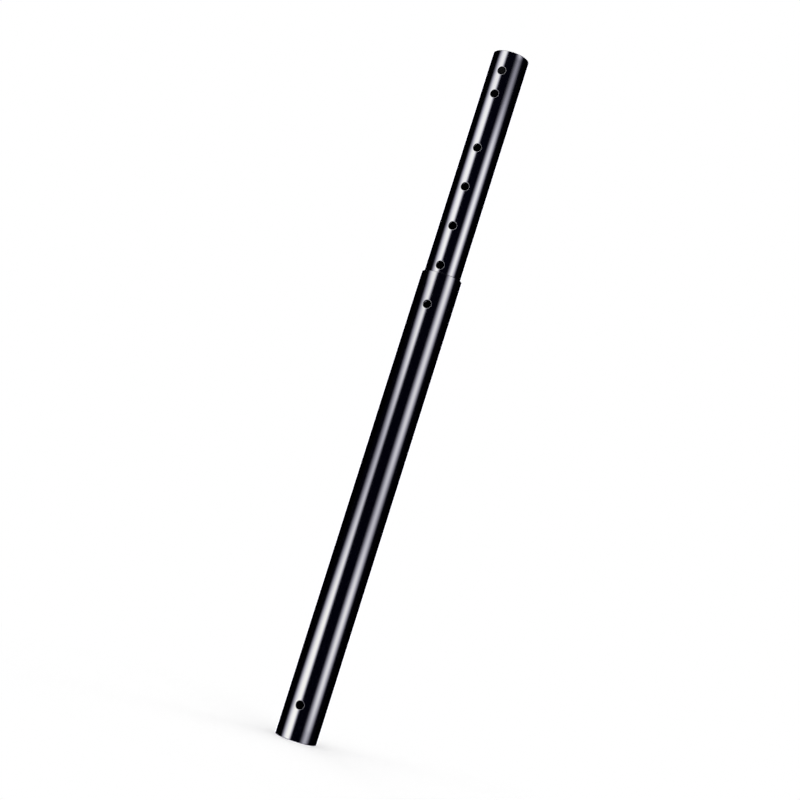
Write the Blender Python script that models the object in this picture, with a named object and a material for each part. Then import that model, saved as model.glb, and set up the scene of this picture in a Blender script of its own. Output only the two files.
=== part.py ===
"""Telescoping extension pole of two gloss black steel tubes.

A slimmer inner tube slides in a thicker outer tube. A bolt pushed through the outer tube's lock hole
and one of the inner tube's adjusting holes would hold the height. The pole stands upright along +Z,
with the centre of its foot at the origin, and every cross hole runs along Y.
"""

import math

import bmesh
import bpy

# Tubes: outside diameter, wall and length in metres
OUTER_DIAMETER = 0.050
INNER_DIAMETER = 0.045
WALL = 0.002
OUTER_LENGTH = 0.570
INNER_LENGTH = 0.570

# Every cross hole is drilled to one size
HOLE_DIAMETER = 0.010

# Cross holes through the outer tube, one near each end
LOCK_HOLE_BELOW_MOUTH = 0.041
FOOT_HOLE_ABOVE_FOOT = 0.041

# Cross holes through the inner tube: two that hold the load at its head, then an evenly spaced row
HEAD_HOLES_BELOW_HEAD = (0.026, 0.056)
FIRST_ADJUSTING_HOLE_BELOW_HEAD = 0.126
ADJUSTING_PITCH = 0.050
ADJUSTING_HOLES = 9

# The adjusting hole that is in line with the lock hole, counted from the head and starting at 0
HOLE_IN_USE = 4

# Edge breaks: rolled rims of the holes, rounded outer corners and deburred inner corners of the ends
HOLE_ROLL = 0.0005
END_ROLL = 0.0010
BORE_BREAK = 0.0003

# Facets
TUBE_FACETS = 80
HOLE_FACETS = 24
ROLL_FACETS = 2
END_ROLL_FACETS = 3
SHARP_ANGLE = math.radians(35)

# The rim's roll stops short of level with the tube, and the cutter runs on from there in a straight line
ROLL_SWEEP = math.radians(70)
CUTTER_CLEAR = 0.0004

# Finish
GLOSS_BLACK = (0.006, 0.006, 0.009, 1.0)
PAINT_ROUGHNESS = 0.12
PAINT_METALLIC = 0.0

# Places that follow from the sizes above
LOCK_HOLE_Z = OUTER_LENGTH - LOCK_HOLE_BELOW_MOUTH
HEAD_Z = LOCK_HOLE_Z + FIRST_ADJUSTING_HOLE_BELOW_HEAD + HOLE_IN_USE * ADJUSTING_PITCH
INNER_FOOT_Z = HEAD_Z - INNER_LENGTH


def clear_scene():
    for scene_object in list(bpy.data.objects):
        bpy.data.objects.remove(scene_object, do_unlink=True)


def new_object(name, mesh):
    piece = bpy.data.objects.new(name, mesh)
    bpy.context.scene.collection.objects.link(piece)
    return piece


def gloss_paint(name):
    material = bpy.data.materials.new(name)
    material.use_nodes = True
    shader = material.node_tree.nodes["Principled BSDF"]
    shader.inputs["Base Color"].default_value = GLOSS_BLACK
    shader.inputs["Roughness"].default_value = PAINT_ROUGHNESS
    shader.inputs["Metallic"].default_value = PAINT_METALLIC
    material.diffuse_color = GLOSS_BLACK
    return material


def quarter_round(centre, radius, start, steps):
    """Points (radius, height) of a quarter circle that turns clockwise from the angle start."""
    for step in range(steps + 1):
        angle = start - step / steps * math.pi / 2
        yield centre[0] + radius * math.cos(angle), centre[1] + radius * math.sin(angle)


def wall_section(outside, length):
    """The wall's section, down the outer side and up the bore, with its four corners broken."""
    bore = outside - WALL
    roll = outside - END_ROLL
    lip = bore + BORE_BREAK
    yield from quarter_round((roll, length - END_ROLL), END_ROLL, math.pi / 2, END_ROLL_FACETS)
    yield from quarter_round((roll, END_ROLL), END_ROLL, 0, END_ROLL_FACETS)
    yield from ((lip, 0), (bore, BORE_BREAK), (bore, length - BORE_BREAK), (lip, length))


def turned_tube(name, outside, length):
    """A tube turned round Z from its wall's section, with its foot on the object's origin."""
    section = [(radius, 0, height) for radius, height in wall_section(outside, length)]
    edges = [(index, (index + 1) % len(section)) for index in range(len(section))]
    mesh = bpy.data.meshes.new(name)
    mesh.from_pydata(section, edges, [])
    tube = new_object(name, mesh)
    turn = tube.modifiers.new("Turn", "SCREW")
    turn.axis = "Z"
    turn.steps = TUBE_FACETS
    turn.render_steps = TUBE_FACETS
    turn.use_merge_vertices = False
    return tube


def rolled_rim(hole):
    """Pairs of distance from the hole's axis and depth below the tube's surface, from the bore outwards."""
    for step in range(ROLL_FACETS + 1):
        angle = step / ROLL_FACETS * ROLL_SWEEP
        yield hole + HOLE_ROLL * (1 - math.cos(angle)), HOLE_ROLL * (1 - math.sin(angle))
    reach = (HOLE_ROLL * (1 - math.sin(ROLL_SWEEP)) + CUTTER_CLEAR) / math.cos(ROLL_SWEEP)
    edge = hole + HOLE_ROLL * (1 - math.cos(ROLL_SWEEP))
    yield edge + reach * math.sin(ROLL_SWEEP), -CUTTER_CLEAR


def cutter_ring(bm, height, away, depth, outside, side):
    """One loop of the cutter, which rises and falls with the curve of the tube that it follows."""
    ring = []
    for step in range(HOLE_FACETS):
        angle = 2 * math.pi * step / HOLE_FACETS
        across = away * math.cos(angle)
        surface = math.sqrt(outside**2 - across**2)
        ring.append(bm.verts.new((across, side * (surface - depth), height + away * math.sin(angle))))
    return ring


def add_cross_cutter(bm, height, hole, outside):
    """A drill with a flared collar at both ends, so that each rim rolls evenly over the round wall."""
    rim = list(rolled_rim(hole))
    stations = [(-1, away, depth) for away, depth in reversed(rim)]
    stations += [(1, away, depth) for away, depth in rim]
    rings = [cutter_ring(bm, height, away, depth, outside, side) for side, away, depth in stations]
    for lower, upper in zip(rings, rings[1:]):
        for step in range(HOLE_FACETS):
            after = (step + 1) % HOLE_FACETS
            bm.faces.new((lower[step], lower[after], upper[after], upper[step]))
    for ring in (rings[0], rings[-1]):
        middle = bm.verts.new((0, math.copysign(outside + CUTTER_CLEAR, ring[0].co.y), height))
        for step in range(HOLE_FACETS):
            bm.faces.new((middle, ring[step], ring[(step + 1) % HOLE_FACETS]))


def drill(tube, heights, outside):
    """Cuts a rolled cross hole through both walls of the tube at each height."""
    bm = bmesh.new()
    for height in heights:
        add_cross_cutter(bm, height, HOLE_DIAMETER / 2, outside)
    bmesh.ops.recalc_face_normals(bm, faces=bm.faces)
    mesh = bpy.data.meshes.new(tube.name + "_drill")
    bm.to_mesh(mesh)
    bm.free()
    cutter = new_object(mesh.name, mesh)
    cutter.parent = tube
    cutter.hide_render = True
    cutter.display_type = "WIRE"
    cut = tube.modifiers.new("Cross holes", "BOOLEAN")
    cut.operation = "DIFFERENCE"
    cut.solver = "EXACT"
    cut.object = cutter
    return cutter


def finish_solid(tube, cutter, paint):
    """Keeps the drilled solid as the tube's own mesh, smooth round its walls and crisp at its bore edges."""
    bpy.context.view_layer.update()
    graph = bpy.context.evaluated_depsgraph_get()
    solid = bpy.data.meshes.new_from_object(tube.evaluated_get(graph))
    tube.modifiers.clear()
    tube.data = solid
    solid.name = tube.name
    solid.shade_smooth()
    solid.set_sharp_from_angle(angle=SHARP_ANGLE)
    solid.materials.clear()
    solid.materials.append(paint)
    bpy.data.objects.remove(cutter, do_unlink=True)


def build_outer_tube():
    tube = turned_tube("outer_tube", OUTER_DIAMETER / 2, OUTER_LENGTH)
    heights = (FOOT_HOLE_ABOVE_FOOT, LOCK_HOLE_Z)
    cutter = drill(tube, heights, OUTER_DIAMETER / 2)
    finish_solid(tube, cutter, gloss_paint("outer_tube_gloss_black"))
    return tube


def build_inner_tube(outer_tube):
    tube = turned_tube("inner_tube", INNER_DIAMETER / 2, INNER_LENGTH)
    below_head = list(HEAD_HOLES_BELOW_HEAD)
    below_head += [FIRST_ADJUSTING_HOLE_BELOW_HEAD + ADJUSTING_PITCH * n for n in range(ADJUSTING_HOLES)]
    heights = [INNER_LENGTH - below for below in below_head]
    cutter = drill(tube, heights, INNER_DIAMETER / 2)
    finish_solid(tube, cutter, gloss_paint("inner_tube_gloss_black"))
    tube.parent = outer_tube
    tube.location = (0, 0, INNER_FOOT_Z)
    return tube


def main():
    clear_scene()
    outer_tube = build_outer_tube()
    build_inner_tube(outer_tube)


main()
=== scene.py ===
"""Looks of a telescoping extension pole: two gloss black steel tubes with rows of drilled holes.

Both tubes are turned and drilled by one Geometry Nodes tree, which rolls every rim over as the round
wall falls away from it. The paint, the dull bores, the floor and the studio are node materials.
"""

import math

import bpy
from mathutils import Matrix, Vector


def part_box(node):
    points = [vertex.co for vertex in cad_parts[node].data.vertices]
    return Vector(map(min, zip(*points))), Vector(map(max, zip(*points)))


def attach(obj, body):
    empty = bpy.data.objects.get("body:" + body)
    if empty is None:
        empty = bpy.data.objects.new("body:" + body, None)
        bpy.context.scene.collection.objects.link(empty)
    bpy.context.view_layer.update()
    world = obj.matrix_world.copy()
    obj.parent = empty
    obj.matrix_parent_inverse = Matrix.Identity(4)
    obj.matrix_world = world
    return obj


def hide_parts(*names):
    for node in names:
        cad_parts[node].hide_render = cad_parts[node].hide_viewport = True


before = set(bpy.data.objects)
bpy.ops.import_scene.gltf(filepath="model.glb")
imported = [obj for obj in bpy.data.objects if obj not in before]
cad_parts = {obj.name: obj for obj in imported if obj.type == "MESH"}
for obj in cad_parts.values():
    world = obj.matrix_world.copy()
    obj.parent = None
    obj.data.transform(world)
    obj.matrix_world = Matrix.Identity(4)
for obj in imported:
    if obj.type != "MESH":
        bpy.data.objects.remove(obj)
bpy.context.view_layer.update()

# Wall and edge breaks of both tubes, in metres
WALL = 0.002
END_ROLL = 0.0010
BORE_BREAK = 0.0003
HOLE_ROLL = 0.0005

# Every cross hole is drilled to one size
HOLE_DIAMETER = 0.010

# Outer tube: one cross hole near each end
LOCK_HOLE_BELOW_MOUTH = 0.041
FOOT_HOLE_ABOVE_FOOT = 0.041

# Inner tube: two holes that hold the load at its head, then an evenly spaced row
HEAD_HOLES_BELOW_HEAD = (0.026, 0.056)
FIRST_ADJUSTING_HOLE_BELOW_HEAD = 0.126
ADJUSTING_PITCH = 0.050
ADJUSTING_HOLES = 9

# Facets round a tube, across the square of wall that holds a hole, and from that square to the rim
TUBE_FACETS = 144
SQUARE_FACETS = 16
SQUARE_RINGS = 4

# Facets along each rounded edge, and along a plain stretch of wall
ROLL_FACETS = 6
BREAK_FACETS = 2
STRETCH_ROWS = 2

# Points that lie closer than this, in metres, are joined where two bands of wall meet
WELD_DISTANCE = 0.00001

# Places round a hole are counted in quarter turns, from its right side and upwards
QUARTERS = 4
QUARTER_ANGLE = math.pi / 2

# Inputs of the Geometry Nodes tree, by kind
TREE_INPUTS = {
    "NodeSocketGeometry": ("Stations",),
    "NodeSocketFloat": ("Radius", "Wall", "Hole Radius", "Hole Roll", "End Roll", "Bore Break"),
    "NodeSocketInt": ("Tube Facets", "Square Facets"),
    "NodeSocketMaterial": ("Paint", "Bore Finish"),
}

# Camera, from a fit to the tubes' edges, their ends and the hole centres
CAMERA_PLACE = (0.5111, -1.6918, 0.2114)
CAMERA_HEADING = math.radians(16.919)
CAMERA_PITCH = math.radians(6.515)
CAMERA_ROLL = math.radians(17.574)
CAMERA_LENS = 67.4
CAMERA_SENSOR = 36.0

# Noise patterns: features per metre, finer detail and its strength, and the share of the scale along Z
PEEL = {"scale": 450.0, "detail": 1.0}
FLOW = {"scale": 40.0, "detail": 1.0, "along": 0.4}
DRAWN = {"scale": 500.0, "detail": 3.0, "roughness": 0.7, "along": 0.02}
CLOUDS = {"scale": 90.0, "detail": 3.0}
BORE_GRAIN = {"scale": 900.0, "detail": 3.0, "roughness": 0.6}
BORE_PATCHES = {"scale": 60.0, "detail": 4.0}
PAPER_GRAIN = {"scale": 700.0, "detail": 3.0}

# Depths of the relief that these patterns give, in metres
PEEL_DEPTH = 0.000002
FLOW_DEPTH = 0.00002
DRAWN_DEPTH = 0.000001
BORE_DRAWN_DEPTH = 0.00001
BORE_GRAIN_DEPTH = 0.00002
PAPER_GRAIN_DEPTH = 0.00005

# Paint: its colour in soft clouds, its gloss, and the haze along the strongest of the drawn lines
PAINT_BLACK = (0.0012, 0.0012, 0.0018, 1.0)
PAINT_BLUE_BLACK = (0.0016, 0.0016, 0.0028, 1.0)
CLOUD_REACH = (0.35, 0.65)
PAINT_ROUGHNESS = 0.12
PAINT_IOR = 1.55
COAT_ROUGHNESS = 0.05
COAT_IOR = 1.7
OUTER_REFLECTION = 0.85
INNER_REFLECTION = 1.0
HAZE_REACH = (0.55, 0.8)
OUTER_HAZE = 0.03
INNER_HAZE = 0.05

# Inside of the tubes: dull black overspray, and the barer steel that shows through it in patches
# Both colours are darkened to nearly black as painted shade inside the tube, over the overspray's own
# black
BORE_SHADED_BLACK = (0.002, 0.002, 0.0023, 1.0)
BORE_SHADED_GREY = (0.008, 0.008, 0.0084, 1.0)
BORE_IOR = 1.15
BORE_PATCH_SHARE = 0.6
BORE_BARE_REACH = (0.42, 0.68)
BORE_ROUGHNESS = 0.68
BORE_BARE_ROUGHNESS = 0.52

# Facets round the floor and round the dark studio
SET_FACETS = 96

# Floor, in metres round the foot: the lit paper there fades out to plain white, and that to the room
FLOOR_RADIUS = 60.0
FLOOR_PAPER_REACH = (0.16, 0.45)
# The plain white round the pole is a painted pool of light, which fades to the room's grey further out
FLOOR_WHITE_REACH = (1.05, 2.6)
FLOOR_WHITE = (0.80, 0.80, 0.80, 1.0)
FLOOR_GREYER_WHITE = (0.78, 0.78, 0.78, 1.0)
FLOOR_LIFT = 0.25

# Room: white behind the pole, which fades to pale grey between these degrees to each side of there
ROOM_GREY = 0.70
ROOM_WHITE_REACH = (45.0, 75.0)

# Overhead softbox
SOFTBOX_SIZE = 2.0
SOFTBOX_HEIGHT = 2.0
SOFTBOX_POWER = 52.0

# Dark studio that the paint mirrors: metres, and azimuths in degrees to the right of the camera
STUDIO_RADIUS = 1.2
STUDIO_HEIGHTS = (-2.0, 2.2)
LAMP_BRIGHTNESS = 8.5
LAMP_DIM_TINT = (1.0, 0.985, 1.24, 1.0)
LAMP_FULL_TINT = (1.0, 0.995, 0.97, 1.0)
ROOM_BLUE = (0.003, 0.003, 0.022)
ROOM_BLUE_REACH = (60.0, 110.0)

# Its grey ceiling, told from the walls by a margin below the top. The lamps run on over its edge and
# fade out between these distances from its middle
CEILING_GREY = (0.12, 0.12, 0.12)
CEILING_MARGIN = 0.01
CEILING_LAMP_REACH = (0.95, 1.15)

# Left lamp: a soft far side, a crisp near side, and a dimmer, narrower stretch
LEFT_RISE = (-89.0, -49.0)
LEFT_FALL = (-42.5, -23.5)
LEFT_NARROWING = 18.0
LEFT_DIP_HEIGHT = 0.46
LEFT_DIP_REACH = 0.58
LEFT_LEVELS = (
    (-0.70, 0.30), (-0.20, 1.05), (0.08, 1.02), (0.43, 0.57), (0.70, 0.92), (1.1, 0.90), (1.25, 0.84)
)

# Right lamp: soft on both sides
RIGHT_RISE = (20.0, 56.5)
RIGHT_FALL = (45.0, 81.0)
RIGHT_LEVELS = (
    (-0.70, 0.20), (-0.16, 0.50), (-0.03, 0.90), (0.12, 0.96), (0.31, 0.60), (0.60, 0.84), (0.88, 1.00),
    (1.02, 0.90), (1.23, 0.27), (1.30, 0.23), (1.45, 0.50)
)

# Back lamp: a narrow one straight behind the pole
BACK_RISE = (158.0, 178.0)
BACK_LEVEL = 0.5

# Sockets of a Mix node that mixes colours, which share their names with its hidden ones
MIX_SHARE = 0
MIX_FIRST = 6
MIX_SECOND = 7
MIX_RESULT = 2

DEGREES_IN_RADIAN = math.degrees(1.0)


class Term:
    """A socket in a node tree, used like a number: each step of a formula becomes one Math node."""

    def __init__(self, tree, socket):
        self.tree = tree
        self.socket = socket

    def math(self, operation, *others):
        node = self.tree.nodes.new("ShaderNodeMath")
        node.operation = operation
        for place, value in enumerate((self, *others)):
            feed(self.tree, node.inputs[place], value)
        return Term(self.tree, node.outputs[0])

    def __add__(self, other):
        return self.math("ADD", other)

    def __sub__(self, other):
        return self.math("SUBTRACT", other)

    def __rsub__(self, other):
        return -self + other

    def __mul__(self, other):
        return self.math("MULTIPLY", other)

    def __truediv__(self, other):
        return self.math("DIVIDE", other)

    def __neg__(self):
        return self.math("MULTIPLY", -1)

    def towards(self, other, share):
        """The value that is this far, 0 to 1, along the way to another."""
        return self + (other - self) * share

    def limited(self, low, high):
        return self.math("MAXIMUM", low).math("MINIMUM", high)


def feed(tree, socket, value):
    """Links a term or a node's output to a socket, or sets the socket to a plain value."""
    if isinstance(value, Term):
        tree.links.new(value.socket, socket)
    elif isinstance(value, bpy.types.NodeSocket):
        tree.links.new(value, socket)
    else:
        socket.default_value = value


def add_node(tree, kind, inputs=None, **settings):
    """A new node with its settings, and its inputs by name or place."""
    node = tree.nodes.new(kind)
    for name, value in settings.items():
        setattr(node, name, value)
    for name, value in (inputs or {}).items():
        feed(tree, node.inputs[name], value)
    return node


def axes(tree, place):
    """The x, y and z of a place."""
    return [Term(tree, axis) for axis in add_node(tree, "ShaderNodeSeparateXYZ", {0: place}).outputs]


class TubeTree:
    """The Geometry Nodes tree that turns one drilled tube.

    Its input mesh is a column of points: the tube's foot, the centre of each hole and its head. A
    hole's part of the wall is a band as high as the square round the hole, and plain stretches of
    wall join the bands. Everything is turned or drilled about a point and then copied to the points.
    """

    def __init__(self, name):
        self.tree = bpy.data.node_groups.new(name, "GeometryNodeTree")
        self.inputs = self.named_inputs()
        self.radius = self.inputs["Radius"]
        self.bore = self.radius - self.inputs["Wall"]
        self.hole = self.inputs["Hole Radius"]
        self.hole_roll = self.inputs["Hole Roll"]
        self.end_roll = self.inputs["End Roll"]
        self.bore_break = self.inputs["Bore Break"]
        self.half_angle = self.inputs["Square Facets"] / self.inputs["Tube Facets"] * math.pi
        self.half_square = self.radius * self.half_angle.math("SINE")
        self.wire()

    def named_inputs(self):
        """Gives the tree its inputs and its output, and returns the inputs as terms by name."""
        interface = self.tree.interface
        for kind, names in TREE_INPUTS.items():
            for name in names:
                interface.new_socket(name, in_out="INPUT", socket_type=kind)
        interface.new_socket("Tube", in_out="OUTPUT", socket_type="NodeSocketGeometry")
        given = add_node(self.tree, "NodeGroupInput").outputs
        return {socket.name: Term(self.tree, socket) for socket in given if socket.name}

    def node(self, kind, inputs=None, **settings):
        """The first output of a new node."""
        return add_node(self.tree, kind, inputs, **settings).outputs[0]

    def place_of_points(self):
        return axes(self.tree, self.node("GeometryNodeInputPosition"))

    def vector(self, x, y, z):
        return self.node("ShaderNodeCombineXYZ", {0: x, 1: y, 2: z})

    def moved(self, geometry, x, y, z):
        changes = {"Geometry": geometry, "Position": self.vector(x, y, z)}
        return self.node("GeometryNodeSetPosition", changes)

    def joined(self, *parts):
        node = add_node(self.tree, "GeometryNodeJoinGeometry")
        for part in parts:
            self.tree.links.new(part, node.inputs[0])
        return node.outputs[0]

    def turned(self, rows, radius, height):
        """A band turned round the pole. Radius and height are formulas of the place along it, 0 to 1."""
        counts = {
            "Vertices": self.inputs["Tube Facets"],
            "Side Segments": rows,
            "Radius": 1.0,
            "Depth": 1.0,
        }
        band = self.node("GeometryNodeMeshCylinder", counts, fill_type="NONE")
        x, y, z = self.place_of_points()
        along = z + 0.5
        away = radius(along)
        return self.moved(band, x * away, y * away, height(along))

    def round_hole(self, rows, ring):
        """A band that runs round a hole, whose points are a formula of the place along it and the turn."""
        counts = {
            "Size X": QUARTERS,
            "Size Y": 1.0,
            "Vertices X": self.inputs["Square Facets"] * QUARTERS + 1,
            "Vertices Y": rows + 1,
        }
        band = self.node("GeometryNodeMeshGrid", counts)
        x, y, _ = self.place_of_points()
        return self.moved(band, *ring(y + 0.5, x + QUARTERS / 2))

    def circle(self, away, turn):
        """Across and up on a circle at a turn."""
        angle = turn * QUARTER_ANGLE
        return away * angle.math("COSINE"), away * angle.math("SINE")

    def side_to_side(self, turn):
        """1 on the right side of a square, -1 on its left side, and evenly between on the other two."""
        from_left = (turn.math("MODULO", QUARTERS) - QUARTERS / 2).math("ABSOLUTE")
        return (from_left * 2.0 - 2.0).limited(-1.0, 1.0)

    def square(self, radius, turn):
        """Across and up on the edge of the square round a hole, which lies on a wall of that radius."""
        across = self.side_to_side(turn)
        up = self.side_to_side(turn + (QUARTERS - 1))
        return radius * (across * self.half_angle).math("SINE"), up * self.half_square

    def front(self, radius, across):
        """How far the front of a wall of that radius stands from the pole's middle plane."""
        return (radius * radius - across * across).math("SQRT")

    def wall_round_hole(self, radius, edge, inwards):
        """The square of a wall round a hole, from its edge to the circle where the rim begins, or back."""

        def ring(along, turn):
            outer_x, outer_z = self.square(radius, turn)
            inner_x, inner_z = self.circle(edge, turn)
            share = along if inwards else 1.0 - along
            x = outer_x.towards(inner_x, share)
            return x, -self.front(radius, x), outer_z.towards(inner_z, share)

        return self.round_hole(SQUARE_RINGS, ring)

    def rim(self):
        """A hole's rolled outer rim, its straight wall and the broken edge at the bore."""

        def rolled(along, turn):
            angle = along * QUARTER_ANGLE
            x, z = self.circle(self.hole + self.hole_roll * (1.0 - angle.math("SINE")), turn)
            return x, self.hole_roll * (1.0 - angle.math("COSINE")) - self.front(self.radius, x), z

        def straight(along, turn):
            x, z = self.circle(self.hole, turn)
            outside = self.hole_roll - self.front(self.radius, x)
            inside = -self.front(self.bore, x) - self.bore_break
            return x, outside.towards(inside, along), z

        def broken(along, turn):
            angle = along * QUARTER_ANGLE
            x, z = self.circle(self.hole + self.bore_break * (1.0 - angle.math("COSINE")), turn)
            return x, -self.front(self.bore, x) - self.bore_break * (1.0 - angle.math("SINE")), z

        return (
            self.round_hole(ROLL_FACETS, rolled),
            self.round_hole(1, straight),
            self.round_hole(BREAK_FACETS, broken),
        )

    def without_squares(self, band, radius):
        """The band with its faces taken out where the two squares round a hole go."""
        x, _, _ = self.place_of_points()
        inside = x.math("ABSOLUTE").math("LESS_THAN", radius * self.half_angle.math("SINE"))
        taken = {"Geometry": band, "Selection": inside}
        return self.node("GeometryNodeDeleteGeometry", taken, domain="FACE")

    def drilled_band(self):
        """The band of wall round a hole, as high as the hole's square, drilled through front and back."""
        rows, half = self.inputs["Square Facets"], self.half_square
        outside = self.turned(rows, lambda along: self.radius, lambda along: half * (along * 2.0 - 1.0))
        inside = self.turned(rows, lambda along: self.bore, lambda along: half * (1.0 - along * 2.0))
        near = self.joined(
            self.wall_round_hole(self.radius, self.hole + self.hole_roll, inwards=True),
            *self.rim(),
            self.wall_round_hole(self.bore, self.hole + self.bore_break, inwards=False),
        )
        far = self.node("GeometryNodeTransform", {"Geometry": near, "Rotation": (0, 0, math.pi)})
        sides = [self.without_squares(outside, self.radius), self.without_squares(inside, self.bore)]
        return self.joined(*sides, near, far)

    def plain_band(self):
        """A stretch of wall one metre high, to be scaled to the length between two bands."""
        return self.joined(
            self.turned(STRETCH_ROWS, lambda along: self.radius, lambda along: along),
            self.turned(STRETCH_ROWS, lambda along: self.bore, lambda along: 1.0 - along),
        )

    def end_band(self):
        """The end of the tube: its rolled corner and flat rim, and the bore's broken edge and wall."""
        return self.joined(
            self.turned(
                ROLL_FACETS,
                lambda along: self.radius - self.end_roll * (1.0 - (along * QUARTER_ANGLE).math("COSINE")),
                lambda along: self.end_roll * ((along * QUARTER_ANGLE).math("SINE") - 1.0),
            ),
            self.turned(
                1,
                lambda along: (self.radius - self.end_roll).towards(self.bore + self.bore_break, along),
                lambda along: 0.0,
            ),
            self.turned(
                BREAK_FACETS,
                lambda along: self.bore + self.bore_break * (1.0 - (along * QUARTER_ANGLE).math("SINE")),
                lambda along: self.bore_break * ((along * QUARTER_ANGLE).math("COSINE") - 1.0),
            ),
            self.turned(
                1,
                lambda along: self.bore,
                lambda along: -self.bore_break.towards(self.end_roll, along),
            ),
        )

    def copied(self, points, chosen, band, **changes):
        """A copy of a band at each chosen point, turned or scaled as the changes say."""
        inputs = {"Points": points, "Selection": chosen, "Instance": band, **changes}
        return self.node("GeometryNodeInstanceOnPoints", inputs)

    def sampled(self, points, value, index):
        inputs = {"Geometry": points, "Value": value, "Index": index}
        return Term(self.tree, self.node("GeometryNodeSampleIndex", inputs, data_type="FLOAT"))

    def stretches(self, stations, index, last):
        """The plain wall from each point to the next, clear of the bands at both."""
        _, _, height = self.place_of_points()
        above = index + 1.0
        low = self.half_square.towards(self.end_roll, index.math("LESS_THAN", 0.5))
        high = self.half_square.towards(self.end_roll, above.math("GREATER_THAN", last - 0.5))
        length = self.sampled(stations, height, above) - height - low - high
        offset = self.vector(0.0, 0.0, low)
        raised = self.node("GeometryNodeSetPosition", {"Geometry": stations, "Offset": offset})
        scale = self.vector(1.0, 1.0, self.sampled(stations, length, index))
        below_head = index.math("LESS_THAN", last - 0.5)
        return self.copied(raised, below_head, self.plain_band(), Scale=scale)

    def finished(self, bands):
        """One welded, smooth tube of the bands, with paint outside and the bore's finish inside."""
        whole = self.node("GeometryNodeRealizeInstances", {0: bands})
        welded = self.node("GeometryNodeMergeByDistance", {"Geometry": whole, "Distance": WELD_DISTANCE})
        smooth = self.node("GeometryNodeSetShadeSmooth", {"Geometry": welded})
        paint = {"Geometry": smooth, "Material": self.inputs["Paint"]}
        painted = self.node("GeometryNodeSetMaterial", paint)
        x, y, _ = self.place_of_points()
        in_bore = (x * x + y * y).math("SQRT").math("LESS_THAN", self.bore + self.bore_break * 0.5)
        lining = {"Geometry": painted, "Selection": in_bore, "Material": self.inputs["Bore Finish"]}
        return self.node("GeometryNodeSetMaterial", lining)

    def wire(self):
        """Puts an end at the first and last point, a drilled band at the others, and wall between them."""
        stations = self.inputs["Stations"]
        count = Term(self.tree, self.node("GeometryNodeAttributeDomainSize", {0: stations}))
        index = Term(self.tree, self.node("GeometryNodeInputIndex"))
        last = count - 1.0
        is_foot = index.math("LESS_THAN", 0.5)
        is_head = index.math("GREATER_THAN", last - 0.5)
        drilled = self.copied(stations, 1.0 - (is_foot + is_head), self.drilled_band())
        head = self.copied(stations, is_head, self.end_band())
        foot = self.copied(stations, is_foot, self.end_band(), Rotation=(math.pi, 0, 0))
        plain = self.stretches(stations, index, last)
        out = add_node(self.tree, "NodeGroupOutput")
        self.tree.links.new(self.finished(self.joined(drilled, plain, head, foot)), out.inputs[0])


def bake_tube(name, tree, stations, inputs):
    """Runs the tree on a column of points and keeps what it makes as a plain mesh at the origin."""
    column = bpy.data.meshes.new(name)
    column.from_pydata([(0, 0, height) for height in stations], [], [])
    tube = bpy.data.objects.new(name, column)
    bpy.context.scene.collection.objects.link(tube)
    modifier = tube.modifiers.new("Drilled tube", "NODES")
    modifier.node_group = tree
    for socket in tree.interface.items_tree:
        if socket.in_out == "INPUT" and socket.name in inputs:
            modifier[socket.identifier] = inputs[socket.name]
    bpy.context.view_layer.update()
    graph = bpy.context.evaluated_depsgraph_get()
    mesh = bpy.data.meshes.new_from_object(tube.evaluated_get(graph), depsgraph=graph)
    tube.modifiers.remove(modifier)
    tube.data = mesh
    bpy.data.meshes.remove(column)
    mesh.name = name
    # An empty slot can come first, from before the paint
    if mesh.materials[0] is None:
        mesh.materials.pop(index=0)
    return tube


def build_tube(name, node, tree, holes, finish):
    """The fine tube that stands for a CAD node, as long and as thick as that node."""
    low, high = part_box(node)
    inputs = {
        "Radius": (high.x - low.x) / 2,
        "Wall": WALL,
        "Hole Radius": HOLE_DIAMETER / 2,
        "Hole Roll": HOLE_ROLL,
        "End Roll": END_ROLL,
        "Bore Break": BORE_BREAK,
        "Tube Facets": TUBE_FACETS,
        "Square Facets": SQUARE_FACETS,
        **finish,
    }
    stations = sorted([low.z, high.z, *holes(low.z, high.z)])
    return bake_tube(name, tree, stations, inputs)


def outer_holes(foot, mouth):
    return [foot + FOOT_HOLE_ABOVE_FOOT, mouth - LOCK_HOLE_BELOW_MOUTH]


def inner_holes(foot, head):
    row = [FIRST_ADJUSTING_HOLE_BELOW_HEAD + ADJUSTING_PITCH * n for n in range(ADJUSTING_HOLES)]
    return [head - below for below in (*HEAD_HOLES_BELOW_HEAD, *row)]


def new_material(name):
    """A node material, its tree and its main shader."""
    material = bpy.data.materials.new(name)
    material.use_nodes = True
    return material, material.node_tree, material.node_tree.nodes["Principled BSDF"]


def empty_material(name):
    """A node material and its tree, which has no nodes yet."""
    material, tree, _ = new_material(name)
    tree.nodes.clear()
    return material, tree


def place_on_object(tree):
    return add_node(tree, "ShaderNodeTexCoord").outputs["Object"]


def noise(tree, scale, detail, roughness=0.5, along=1.0):
    """Noise from 0 to 1 that stays on the piece."""
    mapping = {"Vector": place_on_object(tree), "Scale": (1.0, 1.0, along)}
    mapped = add_node(tree, "ShaderNodeMapping", mapping).outputs[0]
    inputs = {"Vector": mapped, "Scale": scale, "Detail": detail, "Roughness": roughness}
    return Term(tree, add_node(tree, "ShaderNodeTexNoise", inputs).outputs[0])


def spread(tree, value, low, high, start=0.0, end=1.0):
    """A smooth change from low, up to one value of the term, to high, from another value on."""
    inputs = {"Value": value, "From Min": start, "From Max": end, "To Min": low, "To Max": high}
    node = add_node(tree, "ShaderNodeMapRange", inputs, interpolation_type="SMOOTHSTEP")
    return Term(tree, node.outputs[0])


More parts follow.
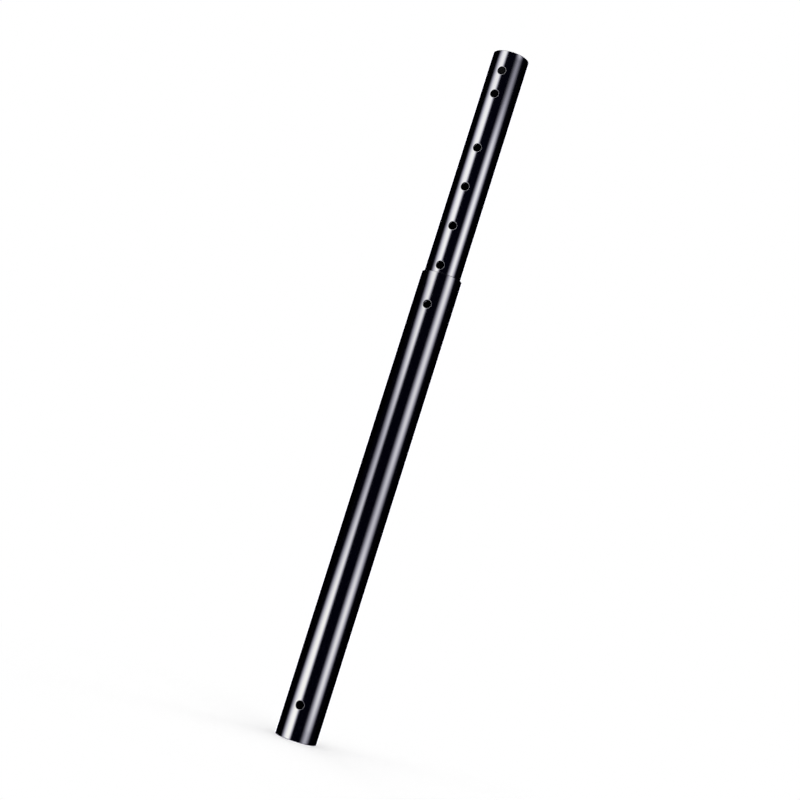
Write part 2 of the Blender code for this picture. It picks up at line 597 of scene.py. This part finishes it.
def blended(tree, share, first, second):
    """One colour at a share of 0 and the other at 1."""
    node = add_node(tree, "ShaderNodeMix", data_type="RGBA")
    feed(tree, node.inputs[MIX_SHARE], share)
    feed(tree, node.inputs[MIX_FIRST], first)
    feed(tree, node.inputs[MIX_SECOND], second)
    return node.outputs[MIX_RESULT]


def relief(tree, *layers):
    """A normal from layers of (height from 0 to 1, depth in metres), each bumped on the one before."""
    normal = None
    for height, depth in layers:
        node = add_node(tree, "ShaderNodeBump", {"Height": height, "Distance": depth})
        if normal is not None:
            feed(tree, node.inputs["Normal"], normal)
        normal = node.outputs[0]
    return normal


def gloss_paint(name, reflection, haze):
    """Deep gloss black paint on drawn steel tube, with the faint peel of a sprayed coat."""
    material, tree, shader = new_material(name)
    drawn = noise(tree, **DRAWN)
    clouds = spread(tree, noise(tree, **CLOUDS), 0.0, 1.0, *CLOUD_REACH)
    feed(tree, shader.inputs["Base Color"], blended(tree, clouds, PAINT_BLACK, PAINT_BLUE_BLACK))
    feed(tree, shader.inputs["Roughness"], spread(tree, drawn, 0.0, haze, *HAZE_REACH) + PAINT_ROUGHNESS)
    shader.inputs["IOR"].default_value = PAINT_IOR
    shader.inputs["Coat Weight"].default_value = reflection
    shader.inputs["Coat Roughness"].default_value = COAT_ROUGHNESS
    shader.inputs["Coat IOR"].default_value = COAT_IOR
    flow = noise(tree, **FLOW)
    peel = noise(tree, **PEEL)
    normal = relief(tree, (flow, FLOW_DEPTH), (drawn, DRAWN_DEPTH), (peel, PEEL_DEPTH))
    feed(tree, shader.inputs["Normal"], normal)
    feed(tree, shader.inputs["Coat Normal"], normal)
    return material


def bore_finish(name):
    """The inside of a tube: dull black overspray, thin and mottled, over drawn steel, darkened as painted
    shade.
    """
    material, tree, shader = new_material(name)
    drawn = noise(tree, **DRAWN)
    mottle = drawn.towards(noise(tree, **BORE_PATCHES), BORE_PATCH_SHARE)
    bare = spread(tree, mottle, 0.0, 1.0, *BORE_BARE_REACH)
    # Overspray and barer patches, both darkened to nearly black as painted shade inside the tube
    feed(tree, shader.inputs["Base Color"], blended(tree, bare, BORE_SHADED_BLACK, BORE_SHADED_GREY))
    feed(tree, shader.inputs["Roughness"], bare * (BORE_BARE_ROUGHNESS - BORE_ROUGHNESS) + BORE_ROUGHNESS)
    shader.inputs["IOR"].default_value = BORE_IOR
    grain = noise(tree, **BORE_GRAIN)
    feed(tree, shader.inputs["Normal"], relief(tree, (drawn, BORE_DRAWN_DEPTH), (grain, BORE_GRAIN_DEPTH)))
    return material


def as_seen(tree):
    """1 for rays that come from the camera, a reflection or glass, and 0 for those that carry light."""
    path = add_node(tree, "ShaderNodeLightPath").outputs
    seen = Term(tree, path["Is Camera Ray"]) + path["Is Glossy Ray"] + path["Is Transmission Ray"]
    return seen.limited(0.0, 1.0)


def room_level(tree, place):
    """How bright the plain room is behind a place, seen from the pole."""
    x, y, _ = axes(tree, place)
    aside = x.math("ARCTAN2", y) + CAMERA_HEADING
    return spread(tree, aside.math("ABSOLUTE") * DEGREES_IN_RADIAN, 1.0, ROOM_GREY, *ROOM_WHITE_REACH)


def pale_room():
    """A plain pale room all round, which puts no light on the pole."""
    world = bpy.data.worlds.new("pale_room")
    world.use_nodes = True
    tree = world.node_tree
    background = tree.nodes["Background"]
    background.inputs["Color"].default_value = (1.0, 1.0, 1.0, 1.0)
    direction = add_node(tree, "ShaderNodeTexCoord").outputs["Generated"]
    feed(tree, background.inputs["Strength"], as_seen(tree) * room_level(tree, direction))
    bpy.context.scene.world = world


def circle_of_points(radius, height):
    turns = [2 * math.pi * n / SET_FACETS for n in range(SET_FACETS)]
    return [(radius * math.cos(turn), radius * math.sin(turn), height) for turn in turns]


def scenery(name, points, faces, material):
    """A part of the set that the pole stands in."""
    mesh = bpy.data.meshes.new(name)
    mesh.from_pydata(points, [], faces)
    mesh.materials.append(material)
    prop = bpy.data.objects.new(name, mesh)
    bpy.context.scene.collection.objects.link(prop)
    return prop


def floor_paper(name):
    """White paper: lit round the foot, in a painted pool of light further out, then as bright as the room.
    It is clear from below.
    """
    material, tree = empty_material(name)
    place = place_on_object(tree)
    grain = noise(tree, **PAPER_GRAIN)
    sheet = {
        "Color": blended(tree, grain, FLOOR_WHITE, FLOOR_GREYER_WHITE),
        "Normal": relief(tree, (grain, PAPER_GRAIN_DEPTH)),
    }
    matt = add_node(tree, "ShaderNodeBsdfDiffuse", sheet).outputs[0]
    lift = add_node(tree, "ShaderNodeEmission", {"Strength": as_seen(tree) * FLOOR_LIFT}).outputs[0]
    lit = add_node(tree, "ShaderNodeAddShader", {0: matt, 1: lift}).outputs[0]
    length = add_node(tree, "ShaderNodeVectorMath", {0: place}, operation="LENGTH")
    away = Term(tree, length.outputs["Value"])
    # Painted pool of light: the floor glows white round the pole and fades to the room's grey further out
    painted_pool_round_pole = spread(tree, away, 1.0, ROOM_GREY, *FLOOR_WHITE_REACH)
    bright = painted_pool_round_pole.math("MAXIMUM", room_level(tree, place))
    plain = add_node(tree, "ShaderNodeEmission", {"Strength": as_seen(tree) * bright}).outputs[0]
    near = spread(tree, away, 1.0, 0.0, *FLOOR_PAPER_REACH)
    top = add_node(tree, "ShaderNodeMixShader", {0: near, 1: plain, 2: lit}).outputs[0]
    below = add_node(tree, "ShaderNodeNewGeometry").outputs["Backfacing"]
    clear = add_node(tree, "ShaderNodeBsdfTransparent").outputs[0]
    whole = add_node(tree, "ShaderNodeMixShader", {0: below, 1: top, 2: clear}).outputs[0]
    add_node(tree, "ShaderNodeOutputMaterial", {"Surface": whole})
    return material


def pale_floor():
    """A white floor that keeps the pole's shadow round its foot and runs out into the background."""
    rim = circle_of_points(FLOOR_RADIUS, 0.0)
    floor = scenery("floor", rim, [range(SET_FACETS)], floor_paper("pale_floor"))
    floor.visible_glossy = False


def level(tree, height, stops):
    """The brightness of a lamp along its height, from a few (height, brightness) stops."""
    low, high = stops[0][0], stops[-1][0]
    share = (height - low) / (high - low)
    node = add_node(tree, "ShaderNodeValToRGB", {0: share})
    ramp = node.color_ramp
    ramp.interpolation = "EASE"
    while len(ramp.elements) < len(stops):
        ramp.elements.new(1.0)
    for element, (at, bright) in zip(ramp.elements, stops):
        element.position = (at - low) / (high - low)
        element.color = (bright, bright, bright, 1.0)
    return Term(tree, node.outputs[0])


def strip(tree, azimuth, rise, fall, narrowing=0.0):
    """How much of a lamp shows at an azimuth: it rises, later by the narrowing, and falls off softly."""
    up = spread(tree, azimuth - narrowing, 0.0, 1.0, *rise)
    down = spread(tree, azimuth, 1.0, 0.0, *fall)
    return up * down


def scaled(tree, colour, amount):
    inputs = {0: colour, "Scale": amount}
    return add_node(tree, "ShaderNodeVectorMath", inputs, operation="SCALE").outputs[0]


def lamp_light(tree, bright):
    """The light of the lamps at a brightness from 0 to 1: cool where dim, and neutral where full."""
    colour = blended(tree, bright, LAMP_DIM_TINT, LAMP_FULL_TINT)
    return scaled(tree, colour, bright * LAMP_BRIGHTNESS)


def summed(tree, *colours):
    total = colours[0]
    for colour in colours[1:]:
        total = add_node(tree, "ShaderNodeVectorMath", {0: total, 1: colour}, operation="ADD").outputs[0]
    return total


def studio_light(name):
    """What the paint mirrors: three tall lamps, a faint blue round the front and a grey ceiling."""
    material, tree = empty_material(name)
    x, y, z = axes(tree, place_on_object(tree))
    azimuth = x.math("ARCTAN2", -y) * DEGREES_IN_RADIAN
    dip = spread(tree, (z - LEFT_DIP_HEIGHT).math("ABSOLUTE"), 1.0, 0.0, 0.0, LEFT_DIP_REACH)
    narrowing = dip * LEFT_NARROWING
    left = strip(tree, azimuth, LEFT_RISE, LEFT_FALL, narrowing) * level(tree, z, LEFT_LEVELS)
    right = strip(tree, azimuth, RIGHT_RISE, RIGHT_FALL) * level(tree, z, RIGHT_LEVELS)
    aside = azimuth.math("ABSOLUTE")
    behind = spread(tree, aside, 0.0, 1.0, *BACK_RISE) * BACK_LEVEL
    ceiling = z.math("GREATER_THAN", STUDIO_HEIGHTS[1] - CEILING_MARGIN)
    from_middle = (x * x + y * y).math("SQRT")
    middle_of_ceiling = spread(tree, from_middle, 1.0, 0.0, *CEILING_LAMP_REACH) * ceiling
    lamps = (left + right + behind) * (1.0 - middle_of_ceiling)
    colour = summed(
        tree,
        lamp_light(tree, lamps),
        scaled(tree, CEILING_GREY, ceiling),
        scaled(tree, ROOM_BLUE, spread(tree, aside, 1.0, 0.0, *ROOM_BLUE_REACH)),
    )
    shine = add_node(tree, "ShaderNodeEmission", {"Color": colour}).outputs[0]
    add_node(tree, "ShaderNodeOutputMaterial", {"Surface": shine})
    return material


def dark_studio():
    """The dark room that the gloss paint mirrors, with its tall lamps. Only reflections see it.

    Its own -Y side faces the camera's side of the pole, and azimuths grow to the right from there.
    """
    rims = [point for height in STUDIO_HEIGHTS for point in circle_of_points(STUDIO_RADIUS, height)]
    walls = []
    for n in range(SET_FACETS):
        after = (n + 1) % SET_FACETS
        walls.append((n, n + SET_FACETS, after + SET_FACETS, after))
    ends = [range(SET_FACETS), range(SET_FACETS, 2 * SET_FACETS)]
    studio = scenery("dark_studio", rims, walls + ends, studio_light("dark_studio"))
    studio.rotation_euler.z = math.atan2(CAMERA_PLACE[0], -CAMERA_PLACE[1])
    for ray in ("camera", "diffuse", "transmission", "volume_scatter", "shadow"):
        setattr(studio, "visible_" + ray, False)


def overhead_softbox():
    """A wide soft lamp above the pole, which lights the floor at a plain level."""
    light = bpy.data.lights.new("overhead_softbox", "AREA")
    light.shape = "SQUARE"
    light.size = SOFTBOX_SIZE
    light.energy = SOFTBOX_POWER
    lamp = bpy.data.objects.new("overhead_softbox", light)
    bpy.context.scene.collection.objects.link(lamp)
    lamp.location = (0.0, 0.0, SOFTBOX_HEIGHT)
    lamp.visible_camera = False
    lamp.visible_glossy = False


def rotation(angle, axis):
    return Matrix.Rotation(angle, 4, axis)


def camera():
    """The camera at the photo's angle: below the middle of the pole, tipped up and rolled over."""
    data = bpy.data.cameras.new("camera")
    data.lens = CAMERA_LENS
    data.sensor_width = CAMERA_SENSOR
    eye = bpy.data.objects.new("camera", data)
    bpy.context.scene.collection.objects.link(eye)
    turn = rotation(CAMERA_HEADING, "Z") @ rotation(QUARTER_ANGLE + CAMERA_PITCH, "X")
    eye.matrix_world = Matrix.Translation(CAMERA_PLACE) @ turn @ rotation(CAMERA_ROLL, "Z")
    bpy.context.scene.camera = eye


tree = TubeTree("drilled_tube").tree
bore = bore_finish("bore_overspray_and_shade")
outer_gloss = gloss_paint("outer_tube_gloss", OUTER_REFLECTION, OUTER_HAZE)
inner_gloss = gloss_paint("inner_tube_gloss", INNER_REFLECTION, INNER_HAZE)
outer_finish = {"Paint": outer_gloss, "Bore Finish": bore}
inner_finish = {"Paint": inner_gloss, "Bore Finish": bore}
outer = build_tube("outer_tube_drilled", "outer_tube", tree, outer_holes, outer_finish)
inner = build_tube("inner_tube_drilled", "inner_tube", tree, inner_holes, inner_finish)
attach(outer, "outer")
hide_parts("outer_tube")
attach(inner, "inner")
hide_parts("inner_tube")

pale_room()
pale_floor()
dark_studio()
overhead_softbox()
camera()
bpy.context.scene.view_settings.view_transform = "Standard"
